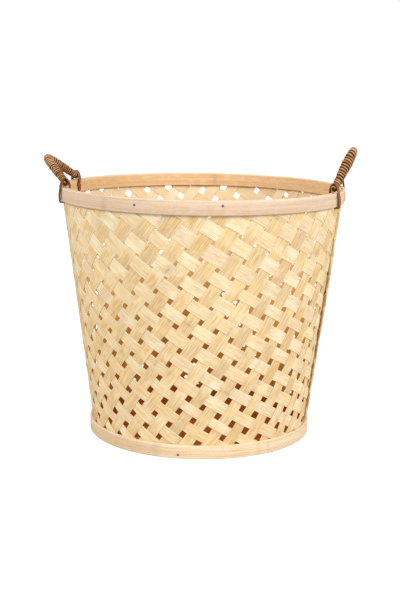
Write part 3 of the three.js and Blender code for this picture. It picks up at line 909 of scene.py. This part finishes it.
# From a bow's own plane to the basket: x along the pivot line, y inward, z up the bow
def poseBow(points, b, v):
    lean = math.radians(b["lean"])
    chord = v["rimMiddle"] * math.cos(math.radians(b["spread"]))
    along, inward = rimAxes(b["azimuth"])
    pivot = -inward * chord + np.array((0, 0, basketHeight + v["pivotRise"]))
    up = np.array((0, 0, 1.0))
    bowUp = up * math.cos(lean) - inward * math.sin(lean)
    bowIn = inward * math.cos(lean) + up * math.sin(lean)
    return pivot + points[..., :1] * along + points[..., 1:2] * bowIn + points[..., 2:3] * bowUp


# Rings round a line: thickness runs along the facing direction and width across it
def tubeRings(line, facing, widths, thicknesses, sides):
    ahead = np.gradient(line, axis=0)
    ahead /= np.linalg.norm(ahead, axis=1)[:, None]
    facing = facing - ahead * np.einsum("ij,ij->i", facing, ahead)[:, None]
    facing /= np.linalg.norm(facing, axis=1)[:, None]
    across = np.cross(ahead, facing)
    angle = np.linspace(0, 2 * math.pi, sides, endpoint=False)
    c, s = np.cos(angle), np.sin(angle)
    rings = (line[:, None] + facing[:, None] * c[None, :, None] * thicknesses[:, None, None]
             + across[:, None] * s[None, :, None] * widths[:, None, None])
    return rings, c, s


# A sum of waves, each with a size, a pace and a phase
def ripple(parts, turn):
    return sum(size * np.sin(turn * pace + phase) for size, pace, phase in parts)


def makeHandle(side, b, v):
    at, line = bowLine(b, v, v["spacing"])
    total = at[-1]
    toEnd = np.minimum(at, total - at)
    begin = v["windingStart"]
    end = total - begin
    swell = ramp(toEnd - v["swellFrom"], v["swellLength"])
    swell = swell * swell * (3 - 2 * swell)
    radius = v["pinRadius"] + (v["coreRadius"] - v["pinRadius"]) * swell
    onLeg = (toEnd - v["legAt"] * total) / (v["legSpread"] * total)
    radius = radius + b["legSwell"] * np.exp(-onLeg ** 2)
    flat = np.stack([line[:, 0], 0 * at, line[:, 1]], axis=1)
    inward = np.tile((0.0, 1.0, 0.0), (len(at), 1))
    placed = poseBow(flat, b, v)
    fromEnd = toEnd - v["tailCut"]
    dome = np.sqrt(1 - np.clip(1 - fromEnd / v["domeLength"], 0, v["domeStop"]) ** 2)
    kept = fromEnd > 0
    facing = poseBow(flat + inward, b, v) - placed
    rings = tubeRings(placed, facing, radius * dome, radius * dome, v["coreSides"])[0]
    core = Strips()
    core.add(rings[kept], at[kept], np.linspace(0, 2 * math.pi * v["coreRadius"], v["coreSides"] + 1))
    core.piece(side + "HandleCore", coreCane, side + "_handle", "cane_core", [side + "_handle_core"])

    turns = max(v["leastTurns"], round((end - begin) / v["peelPitch"]))
    n = turns * v["stepsPerTurn"] + 1
    turn = np.arange(n) * 2 * math.pi / v["stepsPerTurn"]
    toTip = np.minimum(np.arange(n), n - 1 - np.arange(n))
    # Even turns along the surface, which runs over a rounded cap at both ends
    quarter = v["capLength"] * math.pi / 2
    surface = end - begin + 2 * (quarter - v["capLength"])
    fromTip = surface / 2 - np.abs(np.linspace(-surface / 2, surface / 2, n))
    capTurn = ramp(fromTip / quarter) * math.pi / 2
    axial = v["capLength"] * (1 - np.cos(capTurn)) + np.clip(fromTip - quarter, 0, None)
    late = np.arange(n) > n // 2
    where = np.where(late, end - axial, begin + axial)
    where = where + ripple(v["drift"], turn) * ramp(toTip / v["steadySteps"])
    x, z = (np.interp(where, at, line[:, k]) for k in (0, 1))
    dx, dz = (np.interp(where, at, np.gradient(line[:, k], at)) for k in (0, 1))
    norm = np.hypot(dx, dz)
    normal = np.stack([-dz / norm, 0 * dx, dx / norm], axis=1)
    out = normal * np.cos(turn)[:, None] + np.array((0, 1.0, 0)) * np.sin(turn)[:, None]
    taper = np.clip(toTip / v["taperSteps"], v["taperTip"], 1)
    swollen = np.interp(where, at, swell)
    plump = v["footPlump"] + (1 - v["footPlump"]) * swollen
    uneven = 1 + ripple(v["uneven"], turn) * ramp(swollen * 3)
    worn = np.exp(-((where - total / 2) / v["wornLength"]) ** 2)
    thick = v["peelThickness"] / 2 * taper * plump * uneven * (1 - v["wornThinner"] * worn)
    closing = np.clip(np.sin(capTurn), v["capHole"], 1)
    reach = (np.interp(where, at, radius) + v["peelSeat"] + thick) * closing
    middle = np.stack([x, 0 * x, z], axis=1) + out * reach[:, None]
    placed = poseBow(middle, b, v)
    tipward = np.stack([dx / norm, 0 * dx, dz / norm], axis=1) * np.where(late, 1, -1)[:, None]
    leaning = out * np.sin(capTurn)[:, None] + tipward * np.cos(capTurn)[:, None]
    facing = poseBow(middle + leaning, b, v) - placed
    width = np.full(n, surface / turns * v["peelWidth"]) * taper
    rings, outward, sideways = tubeRings(placed, facing, width, thick, v["peelSides"])
    # How far from a turn's crest: the cane finish paints shade in the grooves and a highlight on the crests
    # from it
    groove = np.where(outward > 0, np.abs(sideways), 1.0)
    winding = Strips()
    girth = np.linspace(0, v["peelGirth"], v["peelSides"] + 1)
    winding.add(rings, turn * reach.mean(), girth, groove, blush=worn[:, None])
    winding.piece(side + "HandleWinding", windingCane, side + "_handle", "cane_peel",
                  [side + "_handle_peel"], 60.0)


for side, bow in bows.items():
    makeHandle(side, bow, handleMake)


# Lashings: two loops of dark cane peel over each foot and round the rim's laths
lashMake = {
    "radius": 1.2,
    "halfWidth": 1.75,
    "halfThickness": 1.15,
    "loops": 2,
    "pitch": 3.7,
    "gap": 0.25,
    "corner": 1.8,
    "endDrop": 8.0,
    "belly": 0.9,  # how far the strand stands off the laths halfway down their face
    "skew": 7.0,  # a loop's foot sits this much nearer the bow's middle than its top
    "arcStep": 6,
    "archShape": 2.6,  # higher takes the strand more suddenly from the laths in to the pin
    "shoulder": 1.0,  # how far below the rim's top that begins
    "skewBelow": 4,
    "waver": 0.25,
    "waverPace": 0.21,
    "uneven": 0.05,
    "unevenPace": 0.4,
    "sides": 14,
    "girth": 8.0,
}


# One round of the loop, seen along the rim: out from the wall's middle, and height
def lashOutline(v, h):
    reach = rimRadius - h["rimMiddle"] + v["gap"] + v["halfThickness"]
    arch = h["pinRadius"] + h["peelThickness"] * h["footPlump"] + v["gap"] + v["halfThickness"]
    archZ = basketHeight + h["pivotRise"]
    bottomZ = rimHoopBottom - v["gap"] - v["halfThickness"]
    lowZ = bottomZ + v["corner"]
    lowY = reach - v["corner"]
    endZ = basketHeight - v["endDrop"]
    shoulderZ = basketHeight - v["shoulder"]

    def corner(middleY, start):
        angles = [math.radians(a) for a in range(start, start - 90, -2 * v["arcStep"])]
        return [(middleY + v["corner"] * math.cos(a), lowZ + v["corner"] * math.sin(a)) for a in angles]

    outline = [(reach, z) for z in np.linspace(endZ, lowZ, 5)[:-1]]
    outline += corner(lowY, 0)
    outline += [(y, bottomZ) for y in np.linspace(lowY, -lowY, 7)[:-1]]
    outline += corner(-lowY, -90)
    for share in np.linspace(0, 1, 10)[:-1]:
        stand = v["belly"] * math.sin(math.pi * share)
        outline.append((-reach - stand, lowZ + (shoulderZ - lowZ) * share))
    # From the laths' face in to the pin, over it and out again
    for a in range(180, -1, -v["arcStep"]):
        c, s = math.cos(math.radians(a)), math.sin(math.radians(a))
        spread = arch + (reach - arch) * (1 - s) ** v["archShape"]
        outline.append((spread * c, shoulderZ + (archZ + arch - shoulderZ) * s))
    outline += [(reach, z) for z in np.linspace(shoulderZ, endZ, 7)[1:-1]]
    return np.array(outline)


def makeLashing(side, place, b, v, h):
    outline = lashOutline(v, h)
    toMiddle = b["frontSide"] if place == "Rear" else -b["frontSide"]
    azimuth = b["azimuth"] - toMiddle * b["spread"]
    along, inward = rimAxes(azimuth)
    loop = len(outline)
    steps = np.arange(loop * v["loops"] + 1)
    y, z = outline[steps % loop].T
    x = v["pitch"] * (steps / loop - v["loops"] / 2)
    x = x + v["waver"] * np.sin(steps * v["waverPace"] + math.radians(azimuth))
    topZ = basketHeight + h["pivotRise"]
    x = x + toMiddle * v["skew"] * ramp(topZ - v["skewBelow"] - z, topZ - rimHoopBottom)
    line = -inward * h["rimMiddle"] + x[:, None] * along + y[:, None] * inward
    line = line + z[:, None] * np.array((0, 0, 1.0))
    drop = np.array((0, 0, -2 * v["radius"]))
    line = np.vstack([line[:1] + drop, line, line[-1:] + drop])
    n = len(line)
    wide = v["halfWidth"] * (1 + v["uneven"] * np.sin(np.arange(n) * v["unevenPace"]))
    thick = np.full(n, v["halfThickness"])
    rings, sideways, _ = tubeRings(line, np.tile(along, (n, 1)), thick, wide, v["sides"])
    length = np.concatenate([[0], np.cumsum(np.linalg.norm(np.diff(line, axis=0), axis=1))])
    strips = Strips()
    girth = np.linspace(0, v["girth"], v["sides"] + 1)
    # The strand's sides get painted shade and its crest a painted highlight from this share
    strips.add(rings, length + random.uniform(0, 300), girth, np.abs(sideways))
    node = side + "_" + place.lower() + "_lashing"
    strips.piece(side + place + "Lashing", lashingCane, "basket", "lash_peel", [node], 60.0)


for side, bow in bows.items():
    makeLashing(side, "Front", bow, lashMake, handleMake)
    makeLashing(side, "Rear", bow, lashMake, handleMake)


# Tacks keep their solids and get a finish
for tackName in ("rim_tack_1", "rim_tack_2", "base_tack"):
    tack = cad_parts[tackName]
    for tackSlot in tack.material_slots:
        tackSlot.material = darkSteel
print("tacks finished")


# Studio: a pale floor, a white surround and soft lamps
studio = {
    "surroundLight": 0.48,
    "floorSize": 9.0,
    "floorShade": shade(206, 206, 206),
    "floorGlow": 0.88,
    "clearFrom": 0.93,  # the floor glows from here to there outward, as shares of the base's radius
    "clearTo": 0.99,
    "aim": (0, 0, 0.2),
    "lamps": [
        {"name": "keyLamp", "place": (-2.7, -2.9, 2.8), "size": 2.2, "watts": 113.0},
        {"name": "fillLamp", "place": (3.3, -2.4, 2.4), "size": 2.2, "watts": 127.0},
    ],
}


def buildStudio(v):
    world = bpy.data.worlds.new("surround")
    bpy.context.scene.world = world
    world.use_nodes = True
    sky = Nodes(world.node_tree)
    sky.tree.nodes.clear()
    output = sky.tree.nodes.new("ShaderNodeOutputWorld")
    white = (1, 1, 1, 1)
    seen = sky.node("Background", {}, {"Color": white, "Strength": 1.0})
    light = sky.node("Background", {}, {"Color": white, "Strength": v["surroundLight"]})
    direct = sky.node("LightPath", output="Is Camera Ray")
    mirrored = sky.node("LightPath", output="Is Glossy Ray")
    either = direct.maths("MAXIMUM", direct, mirrored)
    shown = sky.node("MixShader", {}, {0: either, 1: light, 2: seen})
    sky.plug(shown, output.inputs["Surface"])

    half = v["floorSize"] / 2
    mesh = bpy.data.meshes.new("studioFloor")
    corners = [(-half, -half, 0), (half, -half, 0), (half, half, 0), (-half, half, 0)]
    mesh.from_pydata(corners, [], [(0, 1, 2, 3)])
    f = Finish("paleFloor")
    direct = f.node("LightPath", output="Is Camera Ray")
    # No glow under the basket, where its floor's holes would show it
    place = f.node("TexCoord", {}, output="Object")
    span = f.node("VectorMath", {"operation": "LENGTH"}, {0: place}, "Value")
    baseMetres = baseRadius * millimetre
    clear = f.step(span, baseMetres * v["clearFrom"], baseMetres * v["clearTo"])
    glowColour = f.blend(clear, (0, 0, 0, 1), white)
    glow = f.node("Emission", {}, {"Color": glowColour, "Strength": v["floorGlow"]})
    matte = f.node("BsdfDiffuse", {}, {"Color": v["floorShade"]})
    both = f.node("AddShader", {}, {0: matte, 1: glow})
    shown = f.node("MixShader", {}, {0: direct, 1: matte, 2: both})
    f.plug(shown, f.tree.nodes["Material Output"].inputs["Surface"])
    mesh.materials.append(f.material)
    ground = addObject("studioFloor", mesh)

    for lamp in v["lamps"]:
        data = bpy.data.lights.new(lamp["name"], "AREA")
        data.shape = "DISK"
        data.size = lamp["size"]
        data.energy = lamp["watts"]
        made = addObject(lamp["name"], data)
        made.location = lamp["place"]
        aim = Vector(v["aim"]) - made.location
        made.rotation_euler = aim.to_track_quat("-Z", "Y").to_euler()
    bpy.context.scene.view_settings.view_transform = "Standard"


buildStudio(studio)
print("studio built")
